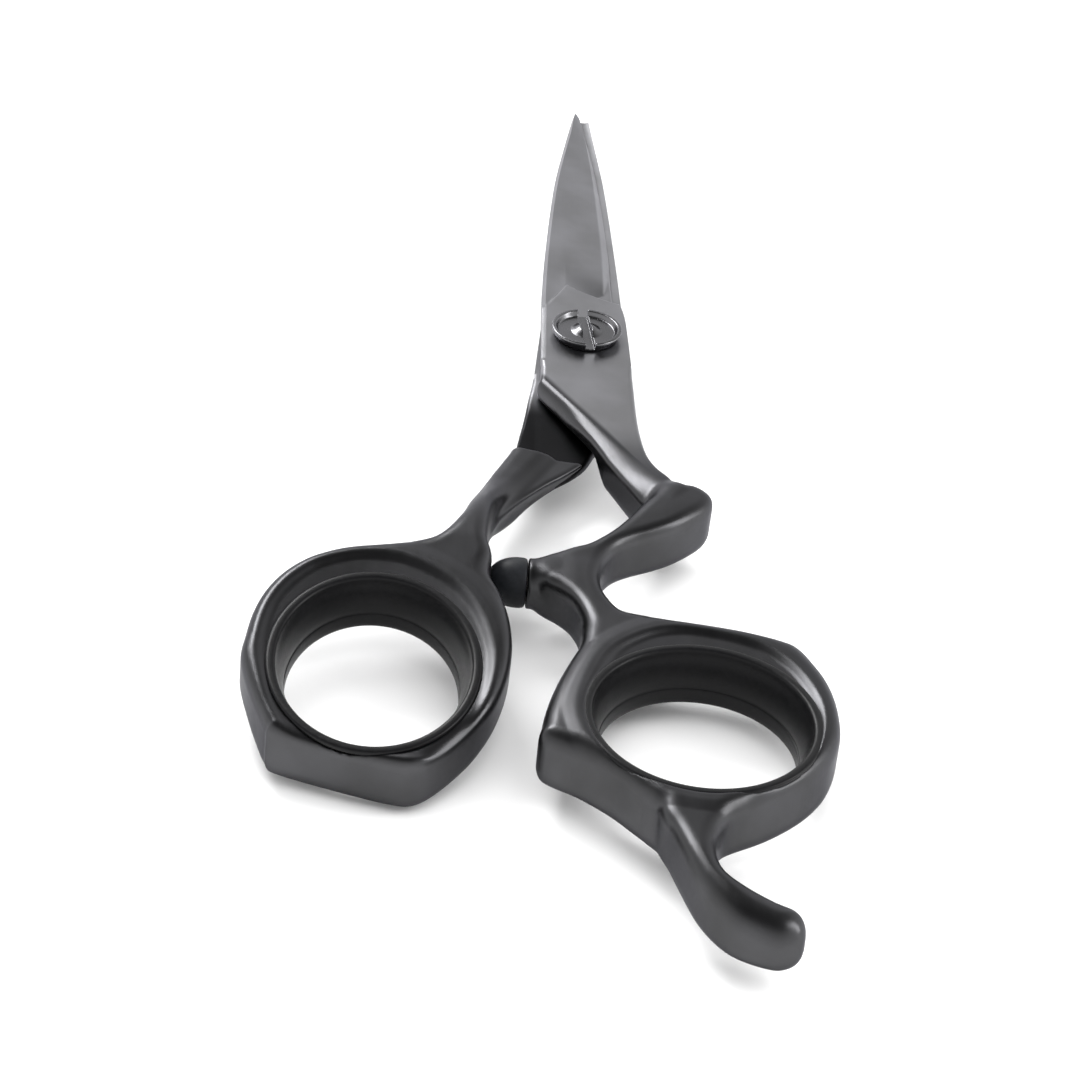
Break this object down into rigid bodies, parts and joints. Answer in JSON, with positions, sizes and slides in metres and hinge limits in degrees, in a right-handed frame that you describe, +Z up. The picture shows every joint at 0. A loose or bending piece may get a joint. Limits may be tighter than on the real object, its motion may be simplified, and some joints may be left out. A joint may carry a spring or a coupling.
{
  "type": "hair cutting shears",
  "caption": "Closed offset-handle hair cutting shears with a dished tension screw, rubber-lined rings, a finger-rest hump, a closing bumper and a little-finger tang.",
  "frame": {"origin": "middle of the underside of the closed shears' bounding box", "axes": "+Y along the blades towards the tips, +Z up along the pivot screw towards its head, +X towards the finger ring"},
  "size_m": [0.0604, 0.1667, 0.0113],
  "materials": {
    "blade_steel": "black titanium coating, satin brushed",
    "handle_steel": "black titanium coating over polished steel, satin",
    "screw_steel": "black coating, semi-gloss",
    "spring_steel": "bright",
    "nylon": "natural nylon",
    "insert_rubber": "matte black",
    "bumper_rubber": "matte dark grey, faintly mottled"
  },
  "bodies": {
    "finger_half": {"finger_blade": "blade_steel", "finger_handle": "handle_steel", "finger_insert": "insert_rubber", "bumper": "bumper_rubber", "bumper_stud": "nylon", "pivot_bush": "nylon", "head_washer": "nylon", "ride_washer": "nylon"},
    "thumb_half": {"thumb_blade": "blade_steel", "thumb_handle": "handle_steel", "thumb_insert": "insert_rubber", "pivot_nut": "screw_steel"},
    "tension_screw": {"pivot_screw": "screw_steel", "spring_washer": "spring_steel"}
  },
  "joints": [
    {"name": "blade_pivot", "type": "hinge", "parent": "finger_half", "child": "thumb_half", "pos_m": [0.0047, 0.02185, 0.00551], "axis": [0, 0, -1], "range_deg": [0, 60]},
    {"name": "tension_turn", "type": "hinge", "parent": "thumb_half", "child": "tension_screw", "pos_m": [0.0047, 0.02185, 0.00551], "axis": [0, 0, 1], "range_deg": [-90, 90]}
  ]
}
